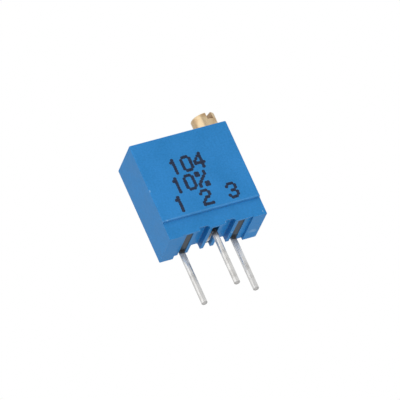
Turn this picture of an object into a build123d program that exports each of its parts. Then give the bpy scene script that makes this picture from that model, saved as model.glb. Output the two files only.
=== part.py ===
from build123d import *
from math import cos, degrees, radians, sin, tan
import os

# Square multi-turn trimmer potentiometer with a top screw and three pins in a triangle.
# Millimetres. The origin is on the board, midway between the two outer pins.
# X runs along the row of outer pins, Y to the back, Z up along the adjusting screw.

# Housing
body_width = 9.53
body_depth = 4.57
body_height = 9.6
standoff_height = 0.25
foot_width = 1.335
front_edge_radius = 0.1
back_edge_radius = 0.1
top_edge_radius = 0.1
band_height = 1.72
band_recess = 0.25
lip_chamfer = 0.06
skirt_thickness = 0.2
skirt_gap = 0.1
rim_wall = 0.3
floor_thickness = 0.9
front_wall = 0.55
well_wall = 0.85

# Lead slots and grooves in the floor of the housing
slot_clearance = 0.05
groove_width = 1.2
groove_depth = 0.58
groove_corner_radius = 0.08
notch_width = 0.95
notch_height = 0.42
notch_corner_radius = 0.15

# Terminals
pin_pitch = 2.54
pin_stagger = 2.54
pin_diameter = 0.56
pin_length = 5.08
pin_tip_chamfer = 0.08
pin_to_back = 0.38
pin_round_end = 0.08
lead_bend_radius = 0.6
blade_width = 0.5
blade_thickness = 0.3
blade_height = 2.0
flattening_length = 0.5

# Adjusting screw
screw_from_side = 1.27
screw_depth_share = 0.396
head_diameter = 2.24
head_height = 1.52
head_chamfer = 0.07
head_gap = 0.03
driver_slot_width = 0.6
driver_slot_depth = 0.68
driver_slot_turn = 15.0
worm_radius = 0.8
worm_pitch_radius = 0.63
worm_root_radius = 0.4
worm_turns = 5
thread_foot_share = 0.8
worm_relief = 0.1
journal_radius = 0.36
journal_length = 1.15
bore_clearance = 0.04

# Screw seal and clip
ring_groove_width = 0.42
ring_groove_depth = 0.32
ring_from_top = 0.45
ring_clearance = 0.02
ring_corner_share = 0.3
clip_neck_radius = 0.46
clip_thickness = 0.22
clip_clearance = 0.03
clip_gap_share = 0.8

# Rotor
tooth_count = 32
tooth_phase_share = 0.5
tooth_thickness_share = 0.29
addendum_share = 0.85
dedendum_share = 1.15
flank_angle = 15.0
gear_face = 0.7
rotor_clearance = 0.12
post_radius = 0.6
post_clearance = 0.04
axial_clearance = 0.05
hub_radius = 1.3
boss_radius = 1.5
boss_height_share = 0.376
lug_inner_radius = 1.9
lug_outer_radius = 2.8
stop_height_share = 0.667
lug_half_angle = 14.0
stop_half_angle = 22.0

# Wiper
wiper_thickness = 0.1
wiper_width = 0.9
wiper_bend_radius = 0.12
wiper_base_low = 0.25
wiper_base_high = 0.75
wiper_tip_length = 0.2
wiper_tip_lift = 0.12
wiper_contact_gap = 0.04
finger_count = 3
finger_slit = 0.1
finger_root = 0.55
rivet_radius = 0.16
rivet_head_radius = 0.24
rivet_head_height = 0.1
rivet_spacing = 0.5
rivet_clearance = 0.02

# Ceramic plate and its films
plate_thickness = 0.5
plate_clearance = 0.05
film_thickness = 0.03
solder_film = 0.02
track_radius = 2.5
track_width = 0.8
track_gap_half_angle = 36.0
collector_radius = 0.95
collector_pad_radius = 1.25
collector_lead_width = 0.7
pad_width = 0.9
pad_height = 2.1
solder_margin = 0.12
solder_height = 0.4
solder_slope = 0.14

# Potting resin
potting_recess = 0.08
strip_recess = 0.05
strip_gap = 0.2
strip_step = 0.5

# One overrun for every cut that runs out of a solid
overrun = 1.0

# Places worked out from the sizes above
half_width = body_width / 2
foot_inner = half_width - foot_width
back_face = pin_to_back
front_face = back_face - body_depth
band_face = front_face + band_recess
floor_top = standoff_height + floor_thickness
pocket_half_width = half_width - rim_wall
pocket_top = body_height - rim_wall
well_floor = front_face + front_wall
pin_radius = pin_diameter / 2
plate_back = -pin_radius - film_thickness - solder_film
plate_front = plate_back - plate_thickness
seat_face = plate_front - film_thickness
plate_bottom = floor_top + plate_clearance
plate_top = pocket_top - plate_clearance
plate_half_width = pocket_half_width - plate_clearance
potting_face = back_face - potting_recess
slot_width = pin_diameter + 2 * slot_clearance
slot_front = band_face + skirt_thickness
lead_height = pin_round_end + lead_bend_radius
blade_top = floor_top + blade_height
screw_x = half_width - screw_from_side
screw_y = well_floor + screw_depth_share * (seat_face - well_floor)

# The rotor fills the room between the left wall and the worm, or between the floor and the roof
tip_ratio = 1 + 2 * addendum_share / tooth_count
width_room = screw_x + half_width - well_wall - worm_pitch_radius - rotor_clearance
height_room = (pocket_top - floor_top) / 2 - rotor_clearance
gear_pitch_radius = min(width_room / (1 + tip_ratio), height_room / tip_ratio)
gear_module = 2 * gear_pitch_radius / tooth_count
gear_tip_radius = gear_pitch_radius + addendum_share * gear_module
gear_root_radius = gear_pitch_radius - dedendum_share * gear_module
well_radius = gear_tip_radius + rotor_clearance
rotor_x = screw_x - worm_pitch_radius - gear_pitch_radius
rotor_z = (floor_top + pocket_top) / 2
gear_front = screw_y - gear_face / 2
gear_back = screw_y + gear_face / 2
hub_front = well_floor + axial_clearance
boss_height = boss_height_share * (seat_face - gear_back)
boss_back = gear_back + boss_height
post_tip = gear_back
worm_lead = 2 * gear_pitch_radius * radians(180) / tooth_count
tooth_thickness = tooth_thickness_share * worm_lead
flank_slope = tan(radians(flank_angle))
thread_foot_radius = worm_root_radius * thread_foot_share
worm_crest_half = tooth_thickness / 2 - (worm_radius - worm_pitch_radius) * flank_slope
worm_foot_half = tooth_thickness / 2 + (worm_pitch_radius - thread_foot_radius) * flank_slope

# Heights along the screw
thread_height = worm_turns * worm_lead
thread_start = rotor_z - thread_height / 2
worm_bottom = thread_start - worm_foot_half
worm_top = thread_start + thread_height + worm_foot_half
neck_bottom = worm_top + worm_relief
neck_top = neck_bottom + clip_thickness + clip_clearance
channel_top = neck_top
channel_bottom = worm_bottom - worm_relief
journal_bottom = channel_bottom - journal_length
channel_half_width = screw_from_side - rim_wall
bore_radius = worm_radius + bore_clearance
ring_top = body_height - ring_from_top
ring_bottom = ring_top - ring_groove_width
ring_floor_radius = worm_radius - ring_groove_depth
head_bottom = body_height + head_gap
head_top = body_height + head_height

os.makedirs("parts", exist_ok=True)


def wall_plane(y):
    """The upright plane at depth y, seen from the front: X to the right, Z up."""
    return Plane.XZ.offset(-y)


def rotor_plane(y):
    """The upright plane at depth y, with its centre on the rotor's axis."""
    return Plane((rotor_x, y, rotor_z), x_dir=(1, 0, 0), z_dir=(0, -1, 0))


def polar(radius, angle):
    """The point at this radius and angle in degrees."""
    return (radius * cos(radians(angle)), radius * sin(radians(angle)))


def ring_sector(inner, outer, middle, half_angle):
    """Draw a sector of a ring about the sketch's centre."""
    with BuildLine() as outline:
        CenterArc((0, 0), inner, middle - half_angle, 2 * half_angle)
        CenterArc((0, 0), outer, middle - half_angle, 2 * half_angle)
        Line(polar(inner, middle - half_angle), polar(outer, middle - half_angle))
        Line(polar(inner, middle + half_angle), polar(outer, middle + half_angle))
    make_face(outline.edges())


def block(low, high, mode=Mode.ADD):
    """A box between two opposite corners, in the part that is being built."""
    size = [top - bottom for bottom, top in zip(low, high)]
    with Locations(Plane(low)):
        Box(*size, align=(Align.MIN, Align.MIN, Align.MIN), mode=mode)


def keep(piece, name):
    """Label a finished piece and write it to its own file."""
    piece.part.label = name
    export_step(piece.part, f"parts/{name}.step")


# Housing: a tray open at the back, with feet, slots, grooves, a rotor well and a worm channel
with BuildPart() as housing:
    with BuildSketch() as plan:
        with BuildLine():
            Polyline(
                (-half_width, front_face),
                (half_width, front_face),
                (half_width, back_face),
                (-half_width, back_face),
                close=True,
            )
        make_face()
        fillet(plan.vertices().group_by(Axis.Y)[0], front_edge_radius)
        fillet(plan.vertices().group_by(Axis.Y)[-1], back_edge_radius)
    extrude(amount=body_height)
    fillet(housing.faces().sort_by(Axis.Z)[-1].edges(), top_edge_radius)

    # Room between the feet that hold the body off the board, behind a shallower skirt in front
    block(
        (-foot_inner, slot_front, -overrun),
        (foot_inner, back_face + overrun, standoff_height),
        Mode.SUBTRACT,
    )
    block(
        (-foot_inner, front_face - overrun, -overrun),
        (foot_inner, slot_front, skirt_gap),
        Mode.SUBTRACT,
    )

    # Lower band of the front face, set back under a lip
    block(
        (-half_width - overrun, front_face - overrun, -overrun),
        (half_width + overrun, band_face, band_height),
        Mode.SUBTRACT,
    )
    with BuildSketch(Plane((-half_width, front_face, band_height), x_dir=(0, 1, 0), z_dir=(1, 0, 0))):
        with BuildLine():
            Polyline(
                (lip_chamfer, 0),
                (-lip_chamfer, 2 * lip_chamfer),
                (-lip_chamfer, 0),
                close=True,
            )
        make_face()
    extrude(amount=body_width, mode=Mode.SUBTRACT)

    # Seat for the ceramic plate and the resin behind it
    block(
        (-pocket_half_width, seat_face, floor_top),
        (pocket_half_width, back_face + overrun, pocket_top),
        Mode.SUBTRACT,
    )

    # Round well for the rotor, and the channel for the worm, with a round bottom
    with BuildSketch(rotor_plane(seat_face)):
        Circle(well_radius)
    extrude(amount=seat_face - well_floor, mode=Mode.SUBTRACT)
    with BuildSketch(Plane((screw_x, screw_y, channel_bottom))):
        Circle(channel_half_width)
        Rectangle(2 * channel_half_width, seat_face - screw_y, align=(Align.CENTER, Align.MIN))
    extrude(amount=channel_top - channel_bottom, mode=Mode.SUBTRACT)

    # Bore for the screw through the roof, and the blind hole for its lower end
    with BuildSketch(Plane((screw_x, screw_y, channel_top))):
        Circle(bore_radius)
    extrude(amount=body_height + overrun - channel_top, mode=Mode.SUBTRACT)
    with BuildSketch(Plane((screw_x, screw_y, journal_bottom - axial_clearance))):
        Circle(journal_radius + bore_clearance)
    extrude(amount=channel_bottom + axial_clearance - journal_bottom, mode=Mode.SUBTRACT)

    # Lead slots, open below and at the back
    for slot_x in (-pin_pitch, 0, pin_pitch):
        block(
            (slot_x - slot_width / 2, slot_front, -overrun),
            (slot_x + slot_width / 2, back_face + overrun, floor_top),
            Mode.SUBTRACT,
        )

    # Grooves between the slots, and their lower notches through the skirt
    for groove_x in (-pin_pitch / 2, pin_pitch / 2):
        with BuildSketch(wall_plane(back_face + overrun)) as groove:
            with Locations((groove_x, standoff_height + groove_depth)):
                Rectangle(groove_width, groove_depth + overrun, align=(Align.CENTER, Align.MAX))
            fillet(groove.vertices().group_by(Axis.Z)[-1], groove_corner_radius)
        extrude(amount=back_face + overrun - slot_front, mode=Mode.SUBTRACT)
        with BuildSketch(wall_plane(slot_front)) as notch:
            with Locations((groove_x, notch_height)):
                Rectangle(notch_width, notch_height + overrun, align=(Align.CENTER, Align.MAX))
            fillet(notch.vertices().group_by(Axis.Z)[-1], notch_corner_radius)
        extrude(amount=skirt_thickness + overrun, mode=Mode.SUBTRACT)

    # Post that the rotor turns on, and the stop for its lug
    with BuildSketch(rotor_plane(well_floor)):
        Circle(post_radius)
    extrude(amount=well_floor - post_tip)
    with BuildSketch(rotor_plane(well_floor)):
        ring_sector(lug_inner_radius, lug_outer_radius, -90, stop_half_angle)
    extrude(amount=-stop_height_share * (gear_front - well_floor))
keep(housing, "housing")


# Adjusting screw: slotted head, seal groove, clip neck, worm and lower journal
with BuildPart() as adjusting_screw:
    with BuildLine() as thread_line:
        Helix(worm_lead, thread_height, worm_pitch_radius, center=(screw_x, screw_y, thread_start))
    with BuildSketch(Plane((screw_x, screw_y, thread_start), x_dir=(1, 0, 0), z_dir=(0, -1, 0))):
        with BuildLine():
            Polyline(
                (thread_foot_radius, -worm_foot_half),
                (worm_radius, -worm_crest_half),
                (worm_radius, worm_crest_half),
                (thread_foot_radius, worm_foot_half),
                close=True,
            )
        make_face()
    sweep(path=thread_line.line, is_frenet=True)
    with BuildSketch(Plane((screw_x, screw_y, 0), x_dir=(1, 0, 0), z_dir=(0, -1, 0))):
        with BuildLine():
            Polyline(
                (0, journal_bottom),
                (journal_radius, journal_bottom),
                (journal_radius, worm_bottom),
                (worm_root_radius, worm_bottom),
                (worm_root_radius, worm_top),
                (worm_radius, worm_top),
                (worm_radius, neck_bottom),
                (clip_neck_radius, neck_bottom),
                (clip_neck_radius, neck_top),
                (worm_radius, neck_top),
                (worm_radius, ring_bottom),
                (ring_floor_radius, ring_bottom),
                (ring_floor_radius, ring_top),
                (worm_radius, ring_top),
                (worm_radius, head_bottom),
                (head_diameter / 2, head_bottom),
                (head_diameter / 2, head_top),
                (0, head_top),
                close=True,
            )
        make_face()
    revolve(axis=Axis((screw_x, screw_y, 0), (0, 0, 1)))
    chamfer(adjusting_screw.faces().sort_by(Axis.Z)[-1].edges(), head_chamfer)
    with BuildSketch(Plane((screw_x, screw_y, head_top))):
        Rectangle(driver_slot_width, head_diameter + overrun, rotation=driver_slot_turn)
    extrude(amount=-driver_slot_depth, mode=Mode.SUBTRACT)
keep(adjusting_screw, "adjusting_screw")


# Seal ring, squeezed flat on every side in its groove on the screw
ring_width = bore_radius - ring_floor_radius - 2 * ring_clearance
ring_height = ring_groove_width - 2 * ring_clearance
with BuildPart() as screw_o_ring:
    ring_plane = Plane((screw_x, screw_y, 0), x_dir=(1, 0, 0), z_dir=(0, -1, 0))
    with BuildSketch(ring_plane) as ring_section:
        with Locations(((bore_radius + ring_floor_radius) / 2, (ring_bottom + ring_top) / 2)):
            Rectangle(ring_width, ring_height)
        chamfer(ring_section.vertices(), ring_corner_share * ring_width)
    revolve(axis=Axis((screw_x, screw_y, 0), (0, 0, 1)))
keep(screw_o_ring, "screw_o_ring")


# Clip snapped round the neck of the screw, under the bore's shoulder
with BuildPart() as retaining_clip:
    with BuildSketch(Plane((screw_x, screw_y, neck_bottom + clip_clearance / 2))):
        Circle(channel_half_width - clip_clearance)
        Circle(clip_neck_radius + clip_clearance / 2, mode=Mode.SUBTRACT)
        Rectangle(
            2 * clip_neck_radius * clip_gap_share,
            channel_half_width,
            align=(Align.CENTER, Align.MAX),
            mode=Mode.SUBTRACT,
        )
    extrude(amount=clip_thickness)
keep(retaining_clip, "retaining_clip")


# Rotor: toothed wheel on the post, with a stop lug in front and a boss for the wiper behind
tooth_step = 360 / tooth_count


def tooth_half_angle(radius):
    """Half the angle that a tooth takes at this radius, in degrees."""
    thickness = tooth_thickness - 2 * (radius - gear_pitch_radius) * flank_slope
    return degrees(thickness / 2 / radius)


with BuildPart() as rotor_gear:
    with BuildSketch(rotor_plane(gear_back)) as wheel:
        Circle(gear_root_radius)
        for tooth in range(tooth_count):
            middle = tooth_step * (tooth + tooth_phase_share)
            root_half = tooth_half_angle(gear_root_radius)
            tip_half = tooth_half_angle(gear_tip_radius)
            with BuildLine():
                Polyline(
                    (0, 0),
                    polar(gear_root_radius, middle - root_half),
                    polar(gear_tip_radius, middle - tip_half),
                    polar(gear_tip_radius, middle + tip_half),
                    polar(gear_root_radius, middle + root_half),
                    close=True,
                )
            make_face()
    extrude(amount=gear_face)
    with BuildSketch(rotor_plane(gear_front)):
        Circle(hub_radius)
    extrude(amount=gear_front - hub_front)
    with BuildSketch(rotor_plane(gear_back)):
        Circle(boss_radius)
    extrude(amount=-boss_height)
    with BuildSketch(rotor_plane(gear_front)):
        ring_sector(lug_inner_radius, lug_outer_radius, 90, lug_half_angle)
    extrude(amount=gear_front - hub_front)
    with BuildSketch(rotor_plane(hub_front)):
        Circle(post_radius + post_clearance)
    extrude(amount=-(post_tip + axial_clearance - hub_front), mode=Mode.SUBTRACT)

    # Riveted studs that hold the wiper
    with BuildSketch(rotor_plane(boss_back)):
        with Locations((0, 0), (0, rivet_spacing)):
            Circle(rivet_radius)
    extrude(amount=-wiper_thickness)
    with BuildSketch(rotor_plane(boss_back + wiper_thickness)):
        with Locations((0, 0), (0, rivet_spacing)):
            Circle(rivet_head_radius)
    extrude(amount=-rivet_head_height)
keep(rotor_gear, "rotor_gear")


# Wiper: a bent strip with three fingers on the track and one arm on the collector
base_line = boss_back + wiper_thickness / 2
contact_line = plate_front - film_thickness - wiper_contact_gap - wiper_thickness / 2
with BuildPart() as wiper_spring:
    strip_plane = Plane((rotor_x - wiper_width / 2, 0, rotor_z), x_dir=(0, 1, 0), z_dir=(1, 0, 0))
    with BuildSketch(strip_plane):
        with BuildLine() as strip:
            FilletPolyline(
                (contact_line - wiper_tip_lift, -collector_radius - wiper_tip_length),
                (contact_line, -collector_radius),
                (base_line, -wiper_base_low),
                (base_line, wiper_base_high),
                (contact_line, track_radius),
                (contact_line - wiper_tip_lift, track_radius + wiper_tip_length),
                radius=wiper_bend_radius,
            )
        trace(strip.line, line_width=wiper_thickness)
    extrude(amount=wiper_width)
    with BuildSketch(rotor_plane(plate_front)):
        for slit in range(1, finger_count):
            slit_x = slit * wiper_width / finger_count - wiper_width / 2
            with Locations((slit_x, wiper_base_high + finger_root)):
                Rectangle(finger_slit, track_radius, align=(Align.CENTER, Align.MIN))
    extrude(amount=plate_front - boss_back, mode=Mode.SUBTRACT)
    with BuildSketch(rotor_plane(plate_front)):
        with Locations((0, 0), (0, rivet_spacing)):
            Circle(rivet_radius + rivet_clearance)
    extrude(amount=plate_front - boss_back, mode=Mode.SUBTRACT)
keep(wiper_spring, "wiper_spring")


# Ceramic plate
with BuildPart() as ceramic_substrate:
    block((-plate_half_width, plate_front, plate_bottom), (plate_half_width, plate_back, plate_top))
keep(ceramic_substrate, "ceramic_substrate")


# Horseshoe track on the front of the plate
track_inner = track_radius - track_width / 2
track_outer = track_radius + track_width / 2
with BuildPart() as resistor_track:
    with BuildSketch(rotor_plane(plate_front)):
        ring_sector(track_inner, track_outer, 90, 180 - track_gap_half_angle)
    extrude(amount=film_thickness)
keep(resistor_track, "resistor_track")


def wrap_round_edge(pad_x):
    """A conductor film round the plate's lower edge, with its pad on the back."""
    left, right = pad_x - pad_width / 2, pad_x + pad_width / 2
    under = plate_bottom - film_thickness
    behind = plate_back + film_thickness
    block((left, plate_front - film_thickness, under), (right, behind, plate_bottom))
    block((left, plate_back, plate_bottom), (right, behind, plate_bottom + pad_height))


# Conductors from the track's ends to the plate's lower edge
for number, side in ((1, -1), (3, 1)):
    end_angle = -90 + side * track_gap_half_angle
    inner_x = rotor_x + polar(track_inner, end_angle)[0]
    outer_x = rotor_x + polar(track_outer, end_angle)[0]
    inner_z = rotor_z + polar(track_inner, end_angle)[1]
    outer_z = rotor_z + polar(track_outer, end_angle)[1]
    knee_z = (outer_z + plate_bottom) / 2
    pad_x = side * pin_pitch
    with BuildPart() as end_electrode:
        with BuildSketch(wall_plane(plate_front)):
            with BuildLine():
                Polyline(
                    (inner_x, inner_z),
                    (outer_x, outer_z),
                    (outer_x, knee_z),
                    (pad_x + side * pad_width / 2, plate_bottom),
                    (pad_x - side * pad_width / 2, plate_bottom),
                    (inner_x, knee_z),
                    close=True,
                )
            make_face()
        extrude(amount=film_thickness)
        wrap_round_edge(pad_x)
    keep(end_electrode, f"end_electrode_{number}")


# Conductor from the collector pad under the wiper's pivot to the middle of the lower edge
with BuildPart() as collector_track:
    with BuildSketch(wall_plane(plate_front)):
        with Locations((rotor_x, rotor_z)):
            Circle(collector_pad_radius)
        with BuildLine():
            Polyline(
                (rotor_x - collector_lead_width / 2, rotor_z),
                (rotor_x + collector_lead_width / 2, rotor_z),
                (pad_width / 2, plate_bottom),
                (-pad_width / 2, plate_bottom),
                close=True,
            )
        make_face()
    extrude(amount=film_thickness)
    wrap_round_edge(0)
keep(collector_track, "collector_track")


# Terminals: round pins below, flattened blades behind the plate
blade_middle = -pin_radius + blade_thickness / 2


def flatten_to_blade(pin_x, start):
    """Flatten the round lead from this height into the blade on the plate's back."""
    with BuildSketch(Plane((pin_x, 0, start))) as round_end:
        Circle(pin_radius)
    with BuildSketch(Plane((pin_x, blade_middle, start + flattening_length))) as flat_end:
        Rectangle(blade_width, blade_thickness)
    loft([round_end.sketch, flat_end.sketch])
    block(
        (pin_x - blade_width / 2, -pin_radius, start + flattening_length),
        (pin_x + blade_width / 2, -pin_radius + blade_thickness, blade_top),
    )


terminals = []
for number, pin_x in ((1, -pin_pitch), (3, pin_pitch)):
    with BuildPart() as terminal:
        with BuildSketch(Plane((pin_x, 0, -pin_length))):
            Circle(pin_radius)
        extrude(amount=pin_length + pin_round_end)
        chamfer(terminal.faces().sort_by(Axis.Z)[0].edges(), pin_tip_chamfer)
        flatten_to_blade(pin_x, pin_round_end)
    keep(terminal, f"terminal_pin_{number}")
    terminals.append(terminal.part)

# The middle lead runs forward in its slot before it turns down
with BuildPart() as terminal:
    with BuildLine() as route:
        FilletPolyline(
            (0, -pin_stagger, -pin_length),
            (0, -pin_stagger, lead_height),
            (0, 0, lead_height),
            (0, 0, lead_height + 2 * lead_bend_radius),
            radius=lead_bend_radius,
        )
    with BuildSketch(Plane((0, -pin_stagger, -pin_length))):
        Circle(pin_radius)
    sweep(path=route.line)
    chamfer(terminal.faces().sort_by(Axis.Z)[0].edges(), pin_tip_chamfer)
    flatten_to_blade(0, lead_height + 2 * lead_bend_radius)
keep(terminal, "terminal_pin_2")
terminals.append(terminal.part)


# Solder between the blades and the pads, in low mounds
solder_joints = []
solder_face = plate_back + film_thickness
solder_bottom = lead_height + 2 * lead_bend_radius + flattening_length
solder_width = blade_width + 2 * solder_margin
solder_length = blade_top + solder_margin - solder_bottom
for number, pin_x in ((1, -pin_pitch), (3, pin_pitch), (2, 0)):
    solder_middle = (pin_x, solder_face, solder_bottom + solder_length / 2)
    solder_plane = Plane(solder_middle, x_dir=(1, 0, 0), z_dir=(0, 1, 0))
    with BuildPart() as solder:
        with BuildSketch(solder_plane):
            Rectangle(solder_width, solder_length)
        with BuildSketch(solder_plane.offset(solder_height)):
            Rectangle(solder_width - 2 * solder_slope, solder_length - 2 * solder_slope)
        loft()
        for lead in terminals:
            add(lead, mode=Mode.SUBTRACT)
    keep(solder, f"solder_joint_{number}")
    solder_joints.append(solder.part)


# Resin that closes the back, fills the outer lead slots and lies over the lead in the middle one
strip_end = -pin_radius - strip_gap
outer_strip_bottom = standoff_height + strip_recess
middle_strip_bottom = lead_height + pin_radius + strip_recess
with BuildPart() as potting_seal:
    block(
        (-pocket_half_width, plate_back, floor_top),
        (pocket_half_width, potting_face, pocket_top),
    )
    for slot_x in (-pin_pitch, 0, pin_pitch):
        block(
            (slot_x - slot_width / 2, strip_end, floor_top - strip_step),
            (slot_x + slot_width / 2, potting_face, floor_top),
        )
    for slot_x, strip_bottom in (
        (-pin_pitch, outer_strip_bottom),
        (0, middle_strip_bottom),
        (pin_pitch, outer_strip_bottom),
    ):
        block(
            (slot_x - slot_width / 2, slot_front, strip_bottom),
            (slot_x + slot_width / 2, strip_end, floor_top),
        )
    for pad_x in (-pin_pitch, 0, pin_pitch):
        block(
            (pad_x - pad_width / 2, plate_back, floor_top),
            (pad_x + pad_width / 2, solder_face, plate_bottom + pad_height),
            Mode.SUBTRACT,
        )
    for inner in terminals + solder_joints:
        add(inner, mode=Mode.SUBTRACT)
keep(potting_seal, "potting_seal")
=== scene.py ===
"""Looks of a square multi-turn trimmer potentiometer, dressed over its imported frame."""

import logging
import math
import random
from collections.abc import Callable
from dataclasses import dataclass
from enum import Enum
from typing import ClassVar

import bpy
from mathutils import Matrix, Vector

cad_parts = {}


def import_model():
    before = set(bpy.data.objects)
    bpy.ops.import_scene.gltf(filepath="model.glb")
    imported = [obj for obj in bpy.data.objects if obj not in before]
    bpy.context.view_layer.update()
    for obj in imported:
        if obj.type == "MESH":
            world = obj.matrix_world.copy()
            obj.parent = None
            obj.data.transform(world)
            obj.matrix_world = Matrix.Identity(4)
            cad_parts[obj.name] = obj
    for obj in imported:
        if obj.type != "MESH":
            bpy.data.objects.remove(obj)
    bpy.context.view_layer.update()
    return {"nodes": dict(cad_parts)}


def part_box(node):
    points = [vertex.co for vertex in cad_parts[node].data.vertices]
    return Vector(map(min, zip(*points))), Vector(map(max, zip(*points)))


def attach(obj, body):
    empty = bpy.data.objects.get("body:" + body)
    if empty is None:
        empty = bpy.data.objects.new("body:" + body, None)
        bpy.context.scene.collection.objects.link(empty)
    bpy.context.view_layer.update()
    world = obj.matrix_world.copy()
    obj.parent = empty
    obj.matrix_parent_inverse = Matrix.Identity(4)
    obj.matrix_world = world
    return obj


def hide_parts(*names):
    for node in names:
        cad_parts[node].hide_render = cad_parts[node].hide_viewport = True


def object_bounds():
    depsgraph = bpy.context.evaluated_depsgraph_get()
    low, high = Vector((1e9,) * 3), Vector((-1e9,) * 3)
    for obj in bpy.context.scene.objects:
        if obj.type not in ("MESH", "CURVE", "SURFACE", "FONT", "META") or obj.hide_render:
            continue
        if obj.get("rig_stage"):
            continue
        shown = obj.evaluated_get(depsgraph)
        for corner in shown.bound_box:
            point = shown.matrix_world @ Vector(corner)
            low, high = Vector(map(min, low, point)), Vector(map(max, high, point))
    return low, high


LOG = logging.getLogger("trimmer")
MM = 0.001
FULL_TURN = 360
MARK_SEED = 7
EDGE_LAYER = "rounded_edges"

# How many finer layers a noise has.
COARSE_DETAIL = 2.0
FINE_DETAIL = 3.0
FINEST_DETAIL = 4.0

# Where the values of a noise lie: most of them, and nearly all of them.
NOISE_LOW = 0.3
NOISE_HIGH = 0.7
NOISE_LEAST = 0.25
NOISE_MOST = 0.75

# How near, in millimetres, a frame node's corners are one, and how flat, in degrees, its faces are one.
MERGE_WITHIN = 0.0005
FLAT_WITHIN = 0.5

Colour = tuple[float, float, float, float]
Point = tuple[float, float, float]
Socket = bpy.types.NodeSocket

WHITE: Colour = (1.0, 1.0, 1.0, 1.0)


class Body(Enum):
    """The bodies of the frame that new pieces ride on."""

    CASE = "case"
    SCREW = "screw"


class Lay(Enum):
    """How the tool marks run on a metal."""

    CAST = "cast"
    DRAWN = "drawn"
    TURNED = "turned"


def linear(red: int, green: int, blue: int) -> Colour:
    """Turn a colour as a screen shows it into scene light.

    Args:
        red: Red from 0 to 255.
        green: Green from 0 to 255.
        blue: Blue from 0 to 255.

    Returns:
        The colour with full alpha.
    """
    def channel(value: int) -> float:
        """One channel, by the curve of the sRGB standard."""
        share = value / 255
        return share / 12.92 if share <= 0.04045 else ((share + 0.055) / 1.055) ** 2.4

    return channel(red), channel(green), channel(blue), 1.0


class ShaderGraph:
    """One material's nodes, written round its Principled shader."""

    def __init__(self, name: str) -> None:
        """Start a material.

        Args:
            name: The material's name.
        """
        self.material: bpy.types.Material = bpy.data.materials.new(name)
        self.material.use_nodes = True
        self.nodes = self.material.node_tree.nodes
        self.links = self.material.node_tree.links
        self.shader = self.nodes["Principled BSDF"]

    def constant(self, **values: float | Colour) -> None:
        """Set constants on the shader's own sockets, with underscores for blanks in their names."""
        for name, value in values.items():
            self.shader.inputs[name.replace("_", " ")].default_value = value

    def drive(self, name: str, source: Socket) -> None:
        """Link a socket of the shader to a source."""
        self.links.new(source, self.shader.inputs[name])

    def surface(self, source: Socket) -> None:
        """Show a source on the surface in place of the shader."""
        self.links.new(source, self.nodes["Material Output"].inputs["Surface"])

    def feed(self, socket: Socket, value: object) -> None:
        """Link an input to a source, or set it.

        Args:
            socket: The input.
            value: The socket to link or the value to set.
        """
        if isinstance(value, Socket):
            self.links.new(value, socket)
        else:
            socket.default_value = value

    def node(self, kind: str, sources: dict[str | int, object], **settings: object) -> bpy.types.Node:
        """Add a node.

        Args:
            kind: The node's type.
            sources: For each input, a socket to link or a value to set.
            settings: The node's own options.

        Returns:
            The new node.
        """
        made = self.nodes.new(kind)
        for name, value in settings.items():
            setattr(made, name, value)
        for name, value in sources.items():
            self.feed(made.inputs[name], value)
        return made

    def millimetres(self, centre: Point = (0, 0, 0), stretch: Point = (1, 1, 1)) -> Socket:
        """Coordinates on the piece in millimetres.

        Args:
            centre: The point in millimetres that becomes the pattern's origin.
            stretch: How much denser the pattern is along each axis.

        Returns:
            The vector socket.
        """
        place = self.nodes.new("ShaderNodeTexCoord")
        scale = [side / MM for side in stretch]
        shift = [-middle * side for middle, side in zip(centre, stretch)]
        mapping = self.node(
            "ShaderNodeMapping",
            {"Vector": place.outputs["Object"], "Location": shift, "Scale": scale},
        )
        return mapping.outputs["Vector"]

    def noise(self, vector: Socket, per_mm: float, detail: float = COARSE_DETAIL) -> Socket:
        """Cloudy noise.

        Args:
            vector: Coordinates in millimetres.
            per_mm: How many clouds a millimetre holds.
            detail: How many finer layers are added.

        Returns:
            The socket with a value from 0 to 1.
        """
        texture = self.node("ShaderNodeTexNoise", {"Vector": vector, "Scale": per_mm, "Detail": detail})
        return texture.outputs["Fac"]

    def span(self, value: Socket, low: float, high: float,
             start: float = NOISE_LOW, end: float = NOISE_HIGH) -> Socket:
        """Spread a value over a new range.

        Args:
            value: The value to spread.
            low: The result at start.
            high: The result at end.
            start: The value that gives low.
            end: The value that gives high.

        Returns:
            The socket with the result.
        """
        spread = self.node(
            "ShaderNodeMapRange",
            {"Value": value, "From Min": start, "From Max": end, "To Min": low, "To Max": high},
        )
        return spread.outputs["Result"]

    def join(self, operation: str, first: Socket, second: Socket | float) -> Socket:
        """Combine two values.

        Args:
            operation: The name of what is done with them.
            first: The first value.
            second: The second value.

        Returns:
            The socket with the result.
        """
        made = self.node("ShaderNodeMath", {0: first, 1: second}, operation=operation)
        return made.outputs["Value"]

    def blend(self, share: Socket, first: Socket | Colour, second: Socket | Colour) -> Socket:
        """Mix two colours.

        Args:
            share: The share of the second colour.
            first: The colour or socket at 0.
            second: The colour or socket at 1.

        Returns:
            The colour socket.
        """
        mix = self.node("ShaderNodeMix", {"Factor": share}, data_type="RGBA")
        colours = [slot for slot in mix.inputs if slot.type == "RGBA"]
        for slot, value in zip(colours, (first, second)):
            self.feed(slot, value)
        return next(slot for slot in mix.outputs if slot.type == "RGBA")

    def relief(self, height: Socket, depth_mm: float) -> None:
        """Give the shader a fine relief of this depth."""
        bump = self.node("ShaderNodeBump", {"Height": height, "Strength": 1.0, "Distance": depth_mm * MM})
        self.drive("Normal", bump.outputs["Normal"])


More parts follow.
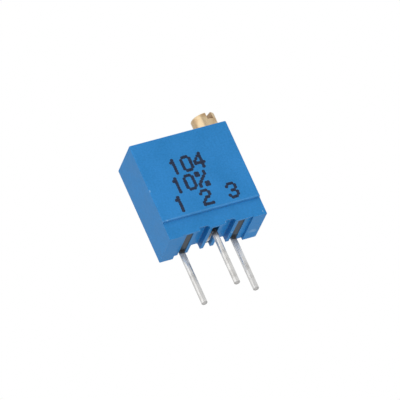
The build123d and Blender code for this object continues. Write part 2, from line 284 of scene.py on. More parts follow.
@dataclass(frozen=True)
class PlasticFinish:
    """A moulded, cast or printed polymer with a fine mottled grain.

    Fields give the colour at its darkest and lightest, the density of the grain and of the clouds,
    the grain's share of the mottling, the density and depth of the relief, the range of roughness
    and the specular level.
    """

    name: str
    dark: Colour
    light: Colour
    grain_per_mm: float = 6.0
    cloud_per_mm: float = 0.4
    grain_share: float = 0.6
    relief_per_mm: float = 9.0
    relief_mm: float = 0.002
    smoothest: float = 0.38
    roughest: float = 0.52
    specular: float = 0.5

    def colour(self, graph: ShaderGraph, tone: Socket) -> Socket:
        """The colour of the grain.

        Args:
            graph: The material's nodes.
            tone: How light the grain is, from 0 to 1.

        Returns:
            The colour socket.
        """
        return graph.blend(tone, self.dark, self.light)

    def material(self) -> bpy.types.Material:
        """Lay out the finish.

        Returns:
            Its material.
        """
        graph = ShaderGraph(self.name)
        place = graph.millimetres()
        grain = graph.noise(place, self.grain_per_mm, FINE_DETAIL)
        clouds = graph.noise(place, self.cloud_per_mm)
        tone = graph.join(
            "ADD",
            graph.join("MULTIPLY", grain, self.grain_share),
            graph.join("MULTIPLY", clouds, 1 - self.grain_share),
        )
        graph.drive("Base Color", self.colour(graph, graph.span(tone, 0.0, 1.0)))
        graph.drive("Roughness", graph.span(clouds, self.smoothest, self.roughest))
        graph.constant(Specular_IOR_Level=self.specular)
        graph.relief(graph.noise(place, self.relief_per_mm, FINE_DETAIL), self.relief_mm)
        return graph.material


@dataclass(frozen=True)
class Patch:
    """An uneven rub mark, haze, or patch of painted shade or highlight.

    Fields give its middle and its half lengths along X, Y and Z in millimetres, its strength, how
    many clouds a half length holds, by how much they break up its edge, and the share of its
    half lengths that it covers in full.
    """

    middle: Point
    reach: Point
    strength: float = 0.6
    clouds: float = 2.0
    uneven: float = 0.4
    core: float = 0.5

    def mask(self, graph: ShaderGraph) -> Socket:
        """Find where the patch shows.

        Args:
            graph: The material's nodes.

        Returns:
            The socket with a value from 0 to the patch's strength.
        """
        inside = graph.millimetres(self.middle, tuple(1 / side for side in self.reach))
        away = graph.node("ShaderNodeVectorMath", {0: inside}, operation="LENGTH").outputs["Value"]
        clouds = graph.noise(inside, self.clouds, FINE_DETAIL)
        ragged = graph.join("ADD", away, graph.span(clouds, -self.uneven, self.uneven))
        return graph.span(ragged, self.strength, 0.0, self.core, 1.0)


def greatest(graph: ShaderGraph, masks: list[Socket]) -> Socket | None:
    """Lay masks over each other.

    Args:
        graph: The material's nodes.
        masks: The masks, with values from 0 to 1.

    Returns:
        The socket with the greatest of their values, or None without masks.
    """
    top = None
    for mask in masks:
        top = mask if top is None else graph.join("MAXIMUM", top, mask)
    return top


@dataclass(frozen=True)
class MouldedFinish(PlasticFinish):
    """A moulded plastic with a painted highlight along its rounded edges, and pale patches of rub marks and
    painted highlight.

    Fields give the pale colour of wear and painted highlight, its greatest share on an edge, the density of
    the clouds that make the painted edge highlight patchy, and the patches of rub marks and painted
    highlight.
    """

    pale_wear_and_highlight: Colour = WHITE
    edge_share: float = 0.35
    edge_clouds_per_mm: float = 0.8
    scuffs_and_highlight: tuple[Patch, ...] = ()

    def colour(self, graph: ShaderGraph, tone: Socket) -> Socket:
        """The colour of the grain, with the painted edge highlight and the patches of wear and painted
        highlight.

        Args:
            graph: The material's nodes.
            tone: How light the grain is, from 0 to 1.

        Returns:
            The colour socket.
        """
        # painted highlight along the rounded edges, broken up by clouds
        edges = graph.node("ShaderNodeAttribute", {}, attribute_name=EDGE_LAYER).outputs["Fac"]
        clouds = graph.noise(graph.millimetres(), self.edge_clouds_per_mm, FINE_DETAIL)
        patchy = graph.span(clouds, 0.0, self.edge_share, NOISE_LEAST, NOISE_MOST)
        # patches: rub marks, and painted highlight where a patch stands for it
        rubbed_and_highlight = [pale_patch.mask(graph) for pale_patch in self.scuffs_and_highlight]
        paler = greatest(graph, [graph.join("MULTIPLY", edges, patchy), *rubbed_and_highlight])
        return graph.blend(paler, super().colour(graph, tone), self.pale_wear_and_highlight)


@dataclass(frozen=True)
class MetalFinish:
    """A bare or plated metal with tool marks, a patchy tarnish and painted shade.

    Fields give the bright and the tarnished colour; how much of the surface is tarnished, how soft
    the tarnish's edge is, how much rougher it is and the density of its patches; the lay of the tool
    marks, a point on the upright axis that they run round or along, their density and depth, how
    dense drawn marks are lengthwise and how much turned ones waver; the range of roughness; how far
    the surface acts as a metal where it is clean and where it is dulled; the patches of painted shade
    with their colour; and the haze, which dulls the metal without a colour of its own.
    """

    name: str
    bright: Colour
    tarnished: Colour
    tarnish: float = 0.3
    tarnish_edge: float = 0.12
    tarnish_roughness: float = 0.12
    patches_per_mm: float = 1.2
    lay: Lay = Lay.CAST
    axis: Point = (0, 0, 0)
    marks_per_mm: float = 14.0
    marks_mm: float = 0.002
    lengthwise: float = 0.04
    waver: float = 1.5
    smoothest: float = 0.2
    roughest: float = 0.38
    metallic: float = 1.0
    dull_metallic: float = 0.0
    painted_shade_colour: Colour = linear(40, 34, 30)
    painted_shade_patches: tuple[Patch, ...] = ()
    haze: tuple[Patch, ...] = ()

    def cover(self, graph: ShaderGraph) -> Socket | None:
        """Find where shade is painted on the metal.

        Args:
            graph: The material's nodes.

        Returns:
            The socket with the painted shade's cover from 0 to 1, or None without it.
        """
        return greatest(graph, [patch.mask(graph) for patch in self.painted_shade_patches])

    def marks(self, graph: ShaderGraph) -> Socket:
        """Draw the tool marks.

        Args:
            graph: The material's nodes.

        Returns:
            The socket with the height of the marks.
        """
        if self.lay is Lay.DRAWN:
            along = graph.millimetres(self.axis, (1, 1, self.lengthwise))
            return graph.noise(along, self.marks_per_mm)
        if self.lay is Lay.TURNED:
            wave = {
                "Vector": graph.millimetres(self.axis),
                "Scale": self.marks_per_mm,
                "Distortion": self.waver,
                "Detail": COARSE_DETAIL,
            }
            rings = graph.node("ShaderNodeTexWave", wave, wave_type="RINGS", rings_direction="Z")
            threads = graph.node("ShaderNodeTexWave", wave, wave_type="BANDS", bands_direction="Z")
            return graph.join("ADD", rings.outputs["Fac"], threads.outputs["Fac"])
        return graph.noise(graph.millimetres(), self.marks_per_mm, FINE_DETAIL)

    def material(self) -> bpy.types.Material:
        """Lay out the finish.

        Returns:
            Its material.
        """
        graph = ShaderGraph(self.name)
        marks = self.marks(graph)
        patches = graph.noise(graph.millimetres(), self.patches_per_mm, FINEST_DETAIL)
        limit = NOISE_MOST - (NOISE_MOST - NOISE_LEAST) * self.tarnish
        dull = graph.span(patches, 0.0, 1.0, limit - self.tarnish_edge, limit + self.tarnish_edge)
        colour = graph.blend(dull, self.bright, self.tarnished)
        cover = self.cover(graph)
        hazed = [patch.mask(graph) for patch in self.haze]
        # painted shade: a darker colour that also dulls the metal
        if cover is not None:
            colour = graph.blend(cover, colour, self.painted_shade_colour)
            hazed.append(cover)
        graph.drive("Base Color", colour)
        if hazed:
            mirror = graph.span(greatest(graph, hazed), self.metallic, self.dull_metallic, 0.0, 1.0)
            graph.drive("Metallic", mirror)
        else:
            graph.constant(Metallic=self.metallic)
        smooth = graph.span(marks, self.smoothest, self.roughest)
        rougher = graph.join("MULTIPLY", dull, self.tarnish_roughness)
        graph.drive("Roughness", graph.join("ADD", smooth, rougher))
        graph.relief(marks, self.marks_mm)
        return graph.material


@dataclass(frozen=True)
class SlottedFinish(MetalFinish):
    """A turned metal with painted shade in the slot of its head.

    Fields give half the slot's width, the height of its floor and the width of the painted shade's soft
    edge in millimetres, and the slot's turn about the screw in degrees.
    """

    slot_half: float = 0.3
    slot_floor: float = 0.0
    slot_edge: float = 0.02
    slot_turn: float = 0.0

    def cover(self, graph: ShaderGraph) -> Socket:
        """Find where shade is painted in the slot.

        Args:
            graph: The material's nodes.

        Returns:
            The socket with the painted shade's cover from 0 to 1.
        """
        place = graph.millimetres(self.axis)
        turn = math.radians(self.slot_turn)
        across = (math.cos(turn), math.sin(turn), 0)
        side = graph.node("ShaderNodeVectorMath", {0: place, 1: across}, operation="DOT_PRODUCT")
        away = graph.join("ABSOLUTE", side.outputs["Value"], 0.0)
        inside = graph.span(away, 1.0, 0.0, self.slot_half, self.slot_half + self.slot_edge)
        height = graph.node("ShaderNodeSeparateXYZ", {"Vector": place}).outputs["Z"]
        above = graph.span(height, 0.0, 1.0, self.slot_floor - self.slot_edge, self.slot_floor)
        return graph.join("MULTIPLY", inside, above)


@dataclass(frozen=True)
class CeramicFinish:
    """A fired body or film with specks in it.

    Fields give the ground's colour, the specks' colour and density, how far a speck is full and how
    far it reaches as shares of their spacing, how many specks a cluster is wide, the noise at which
    clusters begin and are full, the depth of the relief and the roughness.
    """

    name: str
    ground: Colour
    specks: Colour
    specks_per_mm: float = 9.0
    speck_core: float = 0.08
    speck_reach: float = 0.3
    cluster_width: float = 3.0
    cluster_start: float = 0.5
    cluster_full: float = 0.65
    relief_mm: float = 0.003
    roughness: float = 0.6

    def material(self) -> bpy.types.Material:
        """Lay out the finish.

        Returns:
            Its material.
        """
        graph = ShaderGraph(self.name)
        place = graph.millimetres()
        cells = graph.node("ShaderNodeTexVoronoi", {"Vector": place, "Scale": self.specks_per_mm})
        near = graph.span(cells.outputs["Distance"], 1.0, 0.0, self.speck_core, self.speck_reach)
        clouds = graph.noise(place, self.specks_per_mm / self.cluster_width)
        sparse = graph.span(clouds, 0.0, 1.0, self.cluster_start, self.cluster_full)
        share = graph.join("MULTIPLY", near, sparse)
        graph.drive("Base Color", graph.blend(share, self.ground, self.specks))
        graph.constant(Roughness=self.roughness)
        graph.relief(graph.noise(place, self.specks_per_mm, FINE_DETAIL), self.relief_mm)
        return graph.material


def dress(piece: bpy.types.Object, material: bpy.types.Material) -> None:
    """Give a piece or a frame node this material alone."""
    piece.data.materials.clear()
    piece.data.materials.append(material)


def select_only(piece: bpy.types.Object) -> None:
    """Deselect everything, then select one object and make it active.

    Args:
        piece: The object.
    """
    bpy.ops.object.select_all(action="DESELECT")
    piece.select_set(True)
    bpy.context.view_layer.objects.active = piece


def settle(piece: bpy.types.Object, name: str, body: Body) -> None:
    """Name a finished piece and fix it to the body that carries it.

    Args:
        piece: The object, at the origin and untransformed.
        name: The piece's name.
        body: The body that it rides on.
    """
    piece.name = name
    piece.data.name = name
    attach(piece, body.value)
    LOG.info("%s rides on %s: %d faces", name, body.value, len(piece.data.polygons))


def enlarged_copy(node: bpy.types.Object) -> bpy.types.Object:
    """Copy a frame node's mesh, a thousand times larger, with its loose triangles joined up.

    Args:
        node: The frame node, which stays as it is.

    Returns:
        The copy, selected and active, with one unit for each millimetre.
    """
    copy = node.copy()
    copy.data = node.data.copy()
    copy.parent = None
    copy.matrix_world = Matrix.Identity(4)
    for tag in [key for key in copy.keys() if key.startswith("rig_")]:
        del copy[tag]
    bpy.context.scene.collection.objects.link(copy)
    select_only(copy)
    bpy.ops.mesh.customdata_custom_splitnormals_clear()
    bpy.ops.transform.resize(value=(1 / MM,) * 3, center_override=(0, 0, 0))
    bpy.ops.object.transform_apply(location=True, rotation=True, scale=True)
    bpy.ops.object.mode_set(mode="EDIT")
    bpy.ops.mesh.select_all(action="SELECT")
    bpy.ops.mesh.remove_doubles(threshold=MERGE_WITHIN)
    bpy.ops.mesh.dissolve_limited(angle_limit=math.radians(FLAT_WITHIN))
    bpy.ops.object.mode_set(mode="OBJECT")
    return copy


def true_size(piece: bpy.types.Object) -> None:
    """Bring an enlarged piece down to its true size, with its place in its mesh.

    Args:
        piece: The object, which is then the only one selected.
    """
    select_only(piece)
    bpy.ops.transform.resize(value=(MM,) * 3, center_override=(0, 0, 0))
    bpy.ops.object.transform_apply(location=True, rotation=True, scale=True)


def soften_edges(piece: bpy.types.Object, radius: float, segments: int, sharpest: float) -> None:
    """Round a piece's sharp edges, shade its faces flat between them and note which faces are rounded.

    Args:
        piece: The object, enlarged.
        radius: The width of the rounding in millimetres.
        segments: How many faces the rounding has.
        sharpest: The least angle in degrees of an edge that is rounded.
    """
    select_only(piece)
    piece.data.materials.clear()
    empty_slots = (None, None)
    for slot in empty_slots:
        piece.data.materials.append(slot)
    bevel = piece.modifiers.new("edges", "BEVEL")
    bevel.width = radius
    bevel.segments = segments
    bevel.limit_method = "ANGLE"
    bevel.angle_limit = math.radians(sharpest)
    bevel.use_clamp_overlap = True
    bevel.material = len(empty_slots) - 1
    bpy.ops.object.shade_smooth()
    weights = piece.modifiers.new("flats", "WEIGHTED_NORMAL")
    weights.keep_sharp = True
    for name in [modifier.name for modifier in piece.modifiers]:
        bpy.ops.object.modifier_apply(modifier=name)
    rounded = [float(face.material_index) for face in piece.data.polygons]
    layer = piece.data.attributes.new(EDGE_LAYER, "FLOAT", "FACE")
    layer.data.foreach_set("value", rounded)
    piece.data.polygons.foreach_set("material_index", [0] * len(rounded))


def pick(piece: bpy.types.Object, wanted: Callable[[bpy.types.MeshPolygon], bool]) -> None:
    """Select only some faces of a piece, ready for edit mode.

    Args:
        piece: The object.
        wanted: Says of each face whether it is selected.
    """
    for part in (piece.data.vertices, piece.data.edges):
        part.foreach_set("select", [False] * len(part))
    for face in piece.data.polygons:
        face.select = wanted(face)


@dataclass
class Housing:
    """The blue moulded case, with the small radii that a mould leaves on every edge.

    Fields give the radii's width in millimetres and their faces, the least angle in degrees of an
    edge that gets one, and the finish.
    """

    nodes: dict[str, bpy.types.Object]
    edge_radius: float = 0.04
    edge_segments: int = 2
    sharpest_kept: float = 32.0
    finish: MouldedFinish = MouldedFinish(
        "blue_moulding", linear(8, 113, 175), linear(30, 128, 197), roughest=0.5, specular=0.4,
        # pale colour of wear, also used for the painted highlight on the edges and along the lip
        pale_wear_and_highlight=linear(150, 190, 222),
        scuffs_and_highlight=(
            Patch((0.0, -4.12, 1.74), (14.0, 0.4, 0.16), 0.08),  # painted highlight along the lip's edge, with lighter paint over the shade under the lip
            Patch((4.1, -1.0, 0.0), (0.5, 0.34, 0.1), 0.28),  # under the right foot
            Patch((-4.75, -4.2, 4.87), (0.1, 0.1, 0.14)),  # on the left front edge
            Patch((0.81, -3.9, 0.26), (0.08, 0.2, 0.1)),  # at the front, beside the right groove
            Patch((2.07, -1.37, 0.25), (0.1, 0.16, 0.1)),  # on the floor, beside the right lead slot
            Patch((4.47, -3.94, 0.31), (0.05, 0.1, 0.12)),  # at the right end of the lower band
            Patch((-4.34, -4.19, 1.74), (0.12, 0.1, 0.05)),  # at the left end of the lip
        ),
    )

    def build(self) -> None:
        """Model the moulded case and let it stand for the plain one."""
        shell = enlarged_copy(self.nodes["housing"])
        soften_edges(shell, self.edge_radius, self.edge_segments, self.sharpest_kept)
        true_size(shell)
        dress(shell, self.finish.material())
        settle(shell, "moulded_case", Body.CASE)
        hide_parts("housing")


@dataclass
class FrontMarking:
    """Plain numbers in dotted ink on the front: a value code, a tolerance and the pins' numbers.

    Fields give a dot's radius, height, depth in the plastic, sides and the share of its radius that
    slopes; the steps between columns, rows and characters; how far dots stray in place and size; the
    angle in degrees below which faces are shaded smooth; each line of text with its middle and base;
    the pins' numbers with their base; and the ink's finish. Sizes and places are in millimetres.
    """

    dot_radius: float = 0.162
    dot_height: float = 0.012
    dot_sink: float = 0.006
    dot_sides: int = 12
    dot_slope: float = 0.25
    column_step: float = 0.2
    row_step: float = 0.222
    glyph_step: float = 1.2
    wander: float = 0.012
    size_wander: float = 0.07
    smooth_below: float = 50.0
    lines: tuple[tuple[str, float, float], ...] = (("104", -0.4, 5.86), ("10%", -0.85, 4.06))
    pin_glyphs: str = "123"
    pin_line: float = 2.26
    finish: PlasticFinish = PlasticFinish(
        "marking_ink", linear(26, 38, 60), linear(42, 54, 78), smoothest=0.5, roughest=0.65, specular=0.2,
    )

    GLYPHS: ClassVar[dict[str, tuple[str, ...]]] = {
        "0": (".###.", "#...#", "#...#", "#...#", "#...#", "#...#", ".###."),
        "1": ("..#..", ".##..", "..#..", "..#..", "..#..", "..#..", "..#.."),
        "2": (".###.", "#...#", "....#", "..##.", ".#...", "#....", "#####"),
        "3": (".###.", "#...#", "....#", "..##.", "....#", "#...#", ".###."),
        "4": ("...#.", "..##.", ".#.#.", "#..#.", "#####", "...#.", "...#."),
        "%": ("##..#", "##..#", "...#.", "..#..", ".#...", "#..##", "#..##"),
    }

    def ink_dot(self) -> bpy.types.Object:
        """Model one low drop of ink, enlarged, with its top towards the front.

        Returns:
            The dot, with its middle at the origin.
        """
        bpy.ops.object.select_all(action="DESELECT")
        bpy.ops.mesh.primitive_circle_add(
            vertices=self.dot_sides, radius=self.dot_radius, fill_type="NGON", rotation=(math.pi / 2, 0, 0),
        )
        dot = bpy.context.active_object
        bpy.ops.object.transform_apply(location=True, rotation=True, scale=True)
        bpy.ops.object.mode_set(mode="EDIT")
        bpy.ops.mesh.select_all(action="SELECT")
        bpy.ops.mesh.extrude_region_move(
            TRANSFORM_OT_translate={"value": (0, -self.dot_sink - self.dot_height / 2, 0)},
        )
        bpy.ops.mesh.inset(thickness=self.dot_radius * self.dot_slope, depth=self.dot_height / 2)
        bpy.ops.mesh.select_all(action="SELECT")
        bpy.ops.mesh.normals_make_consistent(inside=False)
        bpy.ops.object.mode_set(mode="OBJECT")
        return dot

    def glyph_dots(self, glyph: str, middle: float, base: float) -> list[tuple[float, float]]:
        """Places of one character's dots on the front, in millimetres.

        Args:
            glyph: The character.
            middle: Its middle along X.
            base: The height of its lowest row.

        Returns:
            The dots' X and Z.
        """
        rows = self.GLYPHS[glyph]
        last_row = len(rows) - 1
        middle_column = (len(rows[0]) - 1) / 2
        return [
            (
                middle + (column - middle_column) * self.column_step,
                base + (last_row - row) * self.row_step,
            )
            for row, cells in enumerate(rows)
            for column, cell in enumerate(cells)
            if cell == "#"
        ]

    def places(self) -> list[tuple[float, float]]:
        """Places of every dot of the marking, in millimetres.

        Returns:
            The dots' X and Z.
        """
        dots = []
        for text, middle, base in self.lines:
            for order, glyph in enumerate(text):
                offset = (order - (len(text) - 1) / 2) * self.glyph_step
                dots += self.glyph_dots(glyph, middle + offset, base)
        for glyph in self.pin_glyphs:
            low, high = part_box(f"terminal_pin_{glyph}")
            dots += self.glyph_dots(glyph, (low.x + high.x) / 2 / MM, self.pin_line)
        return dots

    def build(self) -> None:
        """Model the marking and fix it to the case."""
        chance = random.Random(MARK_SEED)
        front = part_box("housing")[0].y / MM
        dot = self.ink_dot()
        copies = []
        for x, z in self.places():
            copy = dot.copy()
            copy.data = dot.data.copy()
            size = 1 + chance.uniform(-self.size_wander, self.size_wander)
            shift = [chance.uniform(-self.wander, self.wander) for _ in range(2)]
            copy.location = (x + shift[0], front + self.dot_sink, z + shift[1])
            copy.scale = (size, 1, size)
            bpy.context.scene.collection.objects.link(copy)
            copies.append(copy)
        bpy.data.objects.remove(dot)
        marking = copies[0]
        select_only(marking)
        for copy in copies:
            copy.select_set(True)
        bpy.ops.object.join()
        select_only(marking)
        bpy.ops.object.transform_apply(location=True, rotation=True, scale=True)
        true_size(marking)
        bpy.ops.object.shade_smooth_by_angle(angle=math.radians(self.smooth_below))
        dress(marking, self.finish.material())
        settle(marking, "front_marking", Body.CASE)


@dataclass
class BackSeal:
    """The grey resin poured into the back, with a meniscus along the walls.

    Fields give the steps of the meniscus away from the wall, each with its width and its fall in
    millimetres, how squarely a face looks back to count as the resin's surface, the angle in degrees
    below which faces are shaded smooth, and the finish.
    """

    nodes: dict[str, bpy.types.Object]
    meniscus: tuple[tuple[float, float], ...] = (
        (0.05, -0.03), (0.06, -0.015), (0.08, -0.007), (0.1, -0.003),
    )
    squareness: float = 0.99
    smooth_below: float = 40.0
    finish: PlasticFinish = PlasticFinish(
        "potting_resin", linear(40, 49, 58), linear(57, 68, 79), grain_per_mm=2.5, relief_per_mm=1.2,
        relief_mm=0.006, smoothest=0.35, roughest=0.5, specular=0.35,
    )

    def build(self) -> None:
        """Model the resin as it set, drawn up along the walls, and dress it."""
        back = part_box("potting_seal")[1].y / MM
        rise = -sum(depth for _, depth in self.meniscus)
        deepest = back - self.meniscus[0][0]
        resin = enlarged_copy(self.nodes["potting_seal"])
        pick(resin, lambda face: face.normal.y > self.squareness and face.center.y > deepest)
        bpy.ops.object.mode_set(mode="EDIT")
        bpy.ops.mesh.select_mode(type="FACE")
        bpy.ops.transform.translate(value=(0, rise, 0))
        for width, depth in self.meniscus:
            bpy.ops.mesh.inset(thickness=width, depth=depth)
        bpy.ops.object.mode_set(mode="OBJECT")
        true_size(resin)
        bpy.ops.object.shade_smooth_by_angle(angle=math.radians(self.smooth_below))
        dress(resin, self.finish.material())
        settle(resin, "cast_resin", Body.CASE)
        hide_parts("potting_seal")


@dataclass
class Terminals:
    """The three tinned pins and the solder behind them.

    Fields give the pins' pitch, the heights of their roots, of the painted shade there and of their
    tips, all in millimetres, and the solder's finish.
    """

    nodes: dict[str, bpy.types.Object]
    pitch: float = 2.54
    root: float = 0.3
    root_shade_height: float = 0.35
    tip: float = -5.08
    solder: MetalFinish = MetalFinish(
        "solder", linear(205, 205, 205), linear(160, 160, 160), tarnish=0.5, marks_per_mm=7.0,
        smoothest=0.3, roughest=0.5,
    )

    def pins(self, height: float) -> tuple[Point, Point, Point]:
        """Places of the left, the middle and the right pin at this height, in millimetres."""
        return (-self.pitch, 0.0, height), (0.0, -self.pitch, height), (self.pitch, 0.0, height)

    def haze(self) -> tuple[Patch, ...]:
        """Find where the pins mirror little: near their roots and along the middle one's lead.

        Returns:
            The patches.
        """
        left, middle, right = self.pins(self.root)
        return (
            Patch(left, (1.2, 1.2, 1.8), 0.75),
            Patch(right, (1.2, 1.2, 3.2), 0.75),
            Patch(middle, (1.2, 1.2, 1.6), 0.5),
            Patch((0.0, -1.0, 0.5), (1.0, 2.0, 0.6), 0.8),
        )

    def painted_shade_patches(self) -> tuple[Patch, ...]:
        """Find where shade is painted on the pins: at their roots and along the middle one's lead, with a
        painted dark reflection at their tips.

        Returns:
            The patches.
        """
        # painted shade along the middle pin's lead
        patches = [Patch((0.0, -1.95, self.root), (0.8, 1.7, 0.9), 0.9)]
        for side in (-self.pitch, self.pitch):
            # painted shadow down the outer pins below their roots
            patches.append(Patch((side, 0.0, self.root), (0.6, 0.6, 1.4), 0.25))
            # painted shade on the outer pins' roots, where the slots are dark
            patches.append(Patch((side, 0.0, self.root_shade_height), (1.2, 1.2, 0.5), 0.9))
        # painted dark reflection at each pin's tip
        patches += [Patch(place, (1.0, 1.0, 0.14), 0.45) for place in self.pins(self.tip)]
        return tuple(patches)

    def tin(self) -> MetalFinish:
        """The drawn and tinned wire.

        Returns:
            The finish.
        """
        return MetalFinish(
            "tinned_lead", linear(238, 237, 235), linear(206, 204, 201), tarnish=0.3, lay=Lay.DRAWN,
            marks_per_mm=16.0, marks_mm=0.001, smoothest=0.1, roughest=0.18, metallic=0.72,
            haze=self.haze(), painted_shade_patches=self.painted_shade_patches(),
        )

    def build(self) -> None:
        """Dress the pins and their solder."""
        tin, solder = self.tin().material(), self.solder.material()
        for number in (1, 2, 3):
            dress(self.nodes[f"terminal_pin_{number}"], tin)
            dress(self.nodes[f"solder_joint_{number}"], solder)
            LOG.info("terminal_pin_%d and its solder dressed", number)


@dataclass
class ScrewDrive:
    """The brass adjusting screw with its seal ring and clip.

    Fields give the width in millimetres and the faces of the head's rounded edges, the slot's depth
    in millimetres and its turn in degrees, the least angle in degrees of an edge that is rounded,
    and the finishes of the ring and the clip.
    """

    nodes: dict[str, bpy.types.Object]
    head_edge: float = 0.05
    head_segments: int = 3
    slot_depth: float = 0.68
    slot_turn: float = 15.0
    sharpest_kept: float = 40.0
    rubber: PlasticFinish = PlasticFinish(
        "seal_rubber", linear(24, 24, 26), linear(38, 38, 40), smoothest=0.6, roughest=0.75, specular=0.3,
    )
    steel: MetalFinish = MetalFinish(
        "spring_steel", linear(188, 188, 190), linear(140, 138, 134), marks_per_mm=10.0,
    )

    def brass(self) -> SlottedFinish:
        """The turned brass, centred on the screw's axis.

        Returns:
            The finish.
        """
        low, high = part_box("adjusting_screw")
        return SlottedFinish(
            "turned_brass", linear(251, 225, 183), linear(218, 182, 138), tarnish=0.3, lay=Lay.TURNED,
            axis=((low.x + high.x) / 2 / MM, (low.y + high.y) / 2 / MM, 0), marks_per_mm=3.0,
            # the painted shade in the slot has this colour
            smoothest=0.16, roughest=0.28, dull_metallic=1.0, painted_shade_colour=linear(194, 164, 132),
            slot_floor=high.z / MM - self.slot_depth, slot_turn=self.slot_turn,
        )

    def turned_screw(self) -> bpy.types.Object:
        """Model the screw with the rounded edges that turning and use leave on its head.

        Returns:
            The screw at its true size.
        """
        screw = enlarged_copy(self.nodes["adjusting_screw"])
        case_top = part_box("housing")[1].z / MM
        bpy.ops.object.mode_set(mode="EDIT")
        bpy.ops.mesh.select_mode(type="EDGE")
        bpy.ops.mesh.select_all(action="DESELECT")
        bpy.ops.mesh.edges_select_sharp(sharpness=math.radians(self.sharpest_kept))
        bpy.ops.object.mode_set(mode="OBJECT")
        heights = [vertex.co.z for vertex in screw.data.vertices]
        on_head = [
            edge.select and min(heights[end] for end in edge.vertices) > case_top
            for edge in screw.data.edges
        ]
        pick(screw, lambda face: False)
        for edge, wanted in zip(screw.data.edges, on_head):
            edge.select = wanted
        bpy.ops.object.mode_set(mode="EDIT")
        bpy.ops.mesh.bevel(
            offset=self.head_edge, segments=self.head_segments, affect="EDGES", clamp_overlap=True,
        )
        bpy.ops.object.mode_set(mode="OBJECT")
        true_size(screw)
        bpy.ops.object.shade_smooth_by_angle(angle=math.radians(self.sharpest_kept))
        return screw

    def build(self) -> None:
        """Model the screw, and dress it, its seal and its clip."""
        screw = self.turned_screw()
        dress(screw, self.brass().material())
        settle(screw, "turned_screw", Body.SCREW)
        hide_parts("adjusting_screw")
        dress(self.nodes["screw_o_ring"], self.rubber.material())
        dress(self.nodes["retaining_clip"], self.steel.material())
        LOG.info("seal and clip dressed")


@dataclass
class Element:
    """What is sealed inside: the rotor with its wiper, and the ceramic plate with its films."""

    nodes: dict[str, bpy.types.Object]

    def finishes(self) -> dict[str, PlasticFinish | MetalFinish | CeramicFinish]:
        """Choose the finish of each inner node.

        Returns:
            The finishes by the nodes' names.
        """
        silver = MetalFinish(
            "silver_film", linear(214, 212, 205), linear(178, 174, 166), smoothest=0.35, roughest=0.5,
        )
        return {
            "rotor_gear": PlasticFinish("rotor_plastic", linear(214, 210, 198), linear(230, 227, 217)),
            "wiper_spring": MetalFinish(
                "contact_alloy", linear(226, 208, 172), linear(190, 160, 112), marks_per_mm=12.0,
            ),
            "ceramic_substrate": CeramicFinish("alumina", linear(232, 230, 225), linear(200, 196, 188)),
            "resistor_track": CeramicFinish(
                "cermet", linear(42, 42, 44), linear(92, 88, 84), roughness=0.45,
            ),
            "collector_track": silver,
            "end_electrode_1": silver,
            "end_electrode_3": silver,
        }

    def build(self) -> None:
        """Dress the inner pieces."""
        made: dict[str, bpy.types.Material] = {}
        for node, finish in self.finishes().items():
            if finish.name not in made:
                made[finish.name] = finish.material()
            dress(self.nodes[node], made[finish.name])
            LOG.info("%s dressed", node)


def direction(azimuth: float, elevation: float) -> Vector:
    """The direction from the part at this azimuth and elevation, in degrees; azimuth 0 is the front."""
    turn, rise = math.radians(azimuth), math.radians(elevation)
    return Vector((math.sin(turn) * math.cos(rise), -math.cos(turn) * math.cos(rise), math.sin(rise)))


def hide_from(piece: bpy.types.Object, *rays: str) -> None:
    """Hide a piece of the stage from these kinds of ray."""
    for ray in rays:
        setattr(piece, f"visible_{ray}", False)


@dataclass
class Lamp:
    """A soft square lamp that looks at the part.

    Fields give its azimuth and elevation in degrees, the level of its light, and its distance and
    side in millimetres.
    """

    name: str
    azimuth: float
    elevation: float
    level: float
    distance: float = 350.0
    side: float = 260.0

    def build(self, target: Vector) -> None:
        """Hang the lamp.

        Args:
            target: The point that it looks at, in metres.
        """
        away = self.distance * MM
        data = bpy.data.lights.new(self.name, "AREA")
        data.shape = "SQUARE"
        data.size = self.side * MM
        data.energy = self.level * (math.pi * away) ** 2
        lamp = bpy.data.objects.new(self.name, data)
        towards = direction(self.azimuth, self.elevation)
        lamp.location = target + towards * away
        lamp.rotation_euler = towards.to_track_quat("Z", "Y").to_euler()
        hide_from(lamp, "glossy")
        bpy.context.scene.collection.objects.link(lamp)


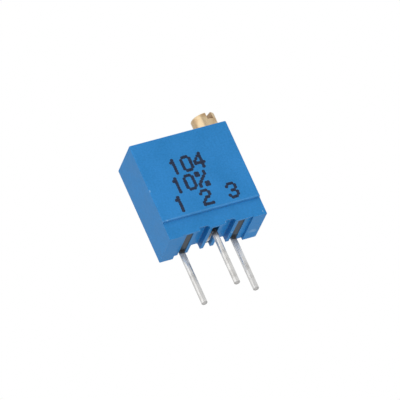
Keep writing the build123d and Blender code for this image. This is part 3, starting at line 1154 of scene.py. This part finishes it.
@dataclass
class Card:
    """A tall grey card, bent round the part, that only shows in reflections.

    Fields give its ends as azimuths in degrees, its level of grey, its distance and height in
    millimetres, and how many flat panels a full turn of it has.
    """

    name: str
    start: float
    end: float
    level: float
    reach: float = 300.0
    height: float = 1000.0
    panels: int = 90

    def covers(self, place: Vector) -> bool:
        """Whether a place round the part lies on the card."""
        azimuth = math.degrees(math.atan2(place.x, -place.y))
        return self.start < azimuth < self.end or self.start < azimuth + FULL_TURN < self.end

    def build(self) -> None:
        """Set up the card."""
        bpy.ops.object.select_all(action="DESELECT")
        bpy.ops.mesh.primitive_cylinder_add(
            vertices=self.panels, radius=self.reach * MM, depth=self.height * MM, end_fill_type="NOTHING",
        )
        card = bpy.context.active_object
        card.name = self.name
        pick(card, lambda face: not self.covers(face.center))
        bpy.ops.object.mode_set(mode="EDIT")
        bpy.ops.mesh.select_mode(type="FACE")
        bpy.ops.mesh.delete(type="FACE")
        bpy.ops.object.mode_set(mode="OBJECT")
        graph = ShaderGraph(self.name)
        glow = graph.node("ShaderNodeEmission", {"Strength": self.level})
        graph.surface(glow.outputs["Emission"])
        dress(card, graph.material)
        hide_from(card, "camera", "diffuse", "transmission", "shadow")
        card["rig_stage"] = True


@dataclass
class Studio:
    """Pale floor, white surroundings, soft lamps and the camera at the photograph's angle.

    Fields give the camera's target, distance, lens and sensor in millimetres and its angles in
    degrees; the floor's side, colour and roughness; the level of the even light; the cards; and the
    lamps.
    """

    target: Point = (0.1572, -2.2541, 3.6562)
    distance: float = 445.39
    azimuth: float = -23.84
    elevation: float = -21.64
    roll: float = 24.47
    lens: float = 454.39
    sensor: float = 36.0
    floor_side: float = 900.0
    floor_colour: Colour = (0.9, 0.9, 0.9, 1.0)
    floor_roughness: float = 0.9
    ambient: float = 0.5
    cards: tuple[Card, ...] = (
        Card("dark_card", -30.0, -8.0, 0.46),
        Card("grey_card", -8.0, 258.0, 0.62),
    )
    lamps: tuple[Lamp, ...] = (
        Lamp("key", -30.0, 12.0, 0.53),
        Lamp("left_fill", -100.0, 10.0, 0.2),
        Lamp("low_fill", 10.0, -86.0, 0.38, side=160.0),
        Lamp("right_fill", 85.0, 15.0, 0.34),
        Lamp("top_fill", -20.0, 68.0, 0.3),
        Lamp("back_fill", 150.0, 40.0, 0.4),
    )

    def world(self) -> None:
        """Set up surroundings that are white where seen or mirrored and give an even soft light."""
        world = bpy.data.worlds.new("white_surroundings")
        bpy.context.scene.world = world
        world.use_nodes = True
        nodes, links = world.node_tree.nodes, world.node_tree.links
        path = nodes.new("ShaderNodeLightPath")
        shown = path.outputs["Is Camera Ray"]
        for ray in ("Is Glossy Ray", "Is Transmission Ray"):
            either = nodes.new("ShaderNodeMath")
            either.operation = "MAXIMUM"
            links.new(shown, either.inputs[0])
            links.new(path.outputs[ray], either.inputs[1])
            shown = either.outputs["Value"]
        level = nodes.new("ShaderNodeMapRange")
        level.inputs["To Min"].default_value = self.ambient
        level.inputs["To Max"].default_value = 1.0
        links.new(shown, level.inputs["Value"])
        sky = nodes["Background"]
        sky.inputs["Color"].default_value = WHITE
        links.new(level.outputs["Result"], sky.inputs["Strength"])

    def floor(self) -> None:
        """Lay a pale floor at the pins' tips, which only shows from above."""
        bpy.ops.object.select_all(action="DESELECT")
        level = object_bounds()[0][2]
        bpy.ops.mesh.primitive_plane_add(size=self.floor_side * MM, location=(0, 0, level))
        floor = bpy.context.active_object
        floor.name = "pale_floor"
        graph = ShaderGraph("pale_floor")
        graph.constant(Base_Color=self.floor_colour, Roughness=self.floor_roughness)
        side = graph.node("ShaderNodeNewGeometry", {})
        clear = graph.node("ShaderNodeBsdfTransparent", {})
        one_sided = graph.node(
            "ShaderNodeMixShader",
            {"Fac": side.outputs["Backfacing"], 1: graph.shader.outputs["BSDF"], 2: clear.outputs["BSDF"]},
        )
        graph.surface(one_sided.outputs["Shader"])
        dress(floor, graph.material)
        hide_from(floor, "diffuse", "glossy", "transmission", "shadow")
        floor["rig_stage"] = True

    def camera(self) -> None:
        """Set up the camera as the photograph was taken, from below and in front."""
        data = bpy.data.cameras.new("photo_camera")
        data.lens = self.lens
        data.sensor_width = self.sensor
        camera = bpy.data.objects.new("photo_camera", data)
        towards = direction(self.azimuth, self.elevation)
        target = Vector(self.target) * MM
        turn = towards.to_track_quat("Z", "Y").to_matrix().to_4x4()
        lean = Matrix.Rotation(math.radians(-self.roll), 4, "Z")
        camera.matrix_world = Matrix.Translation(target + towards * self.distance * MM) @ turn @ lean
        bpy.context.scene.collection.objects.link(camera)
        bpy.context.scene.camera = camera

    def build(self) -> None:
        """Set up the whole stage."""
        bpy.context.scene.view_settings.view_transform = "Standard"
        self.world()
        self.floor()
        for card in self.cards:
            card.build()
        for lamp in self.lamps:
            lamp.build(Vector(self.target) * MM)
        self.camera()


def main() -> None:
    """Load the frame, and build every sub-assembly and the stage."""
    logging.basicConfig(level=logging.INFO, format="%(name)s: %(message)s")
    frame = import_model()
    nodes = frame["nodes"]
    for assembly in (Housing(nodes), FrontMarking(), BackSeal(nodes), Terminals(nodes),
                     ScrewDrive(nodes), Element(nodes)):
        assembly.build()
    Studio().build()


if __name__ == "__main__":
    main()
